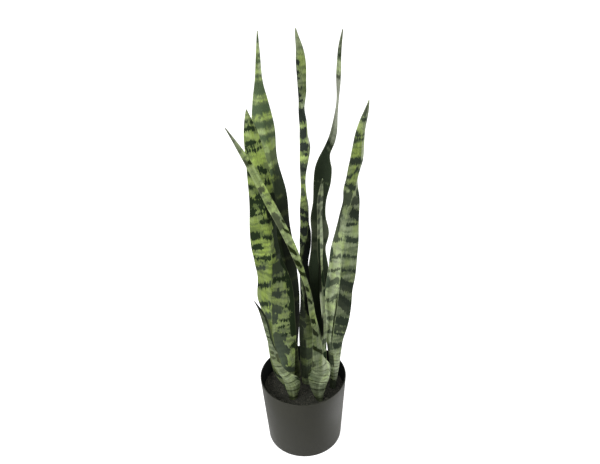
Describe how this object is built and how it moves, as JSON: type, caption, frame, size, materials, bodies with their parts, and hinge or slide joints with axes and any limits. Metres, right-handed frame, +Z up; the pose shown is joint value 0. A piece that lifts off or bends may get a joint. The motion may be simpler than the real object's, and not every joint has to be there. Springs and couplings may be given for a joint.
{
  "type": "potted snake plant",
  "caption": "Snake plant with tall upright banded leaves standing in the soil of a plain tapered pot, for display indoors.",
  "frame": {"origin": "middle of the pot's flat underside", "axes": "+Z up along the pot's axis, -Y towards the front as pictured, +X to the right"},
  "size_m": [0.1997, 0.1524, 0.7651],
  "materials": {
    "pot": "matt warm dark grey, a little lighter where it is seen at a grazing angle",
    "soil": "loose dark potting mix of peat crumbs and bark",
    "leaf": "satin light green with jagged dark green cross bands and fine lengthwise streaks"
  },
  "bodies": {
    "root": {"pot": "pot", "soil": "soil", "leaf_tall_back_left": "leaf", "leaf_wide_left": "leaf", "leaf_slender_front": "leaf", "leaf_tall_centre": "leaf", "leaf_tall_right": "leaf", "leaf_narrow_inner": "leaf", "leaf_short_front_left": "leaf", "leaf_broad_right": "leaf"}
  },
  "joints": []
}
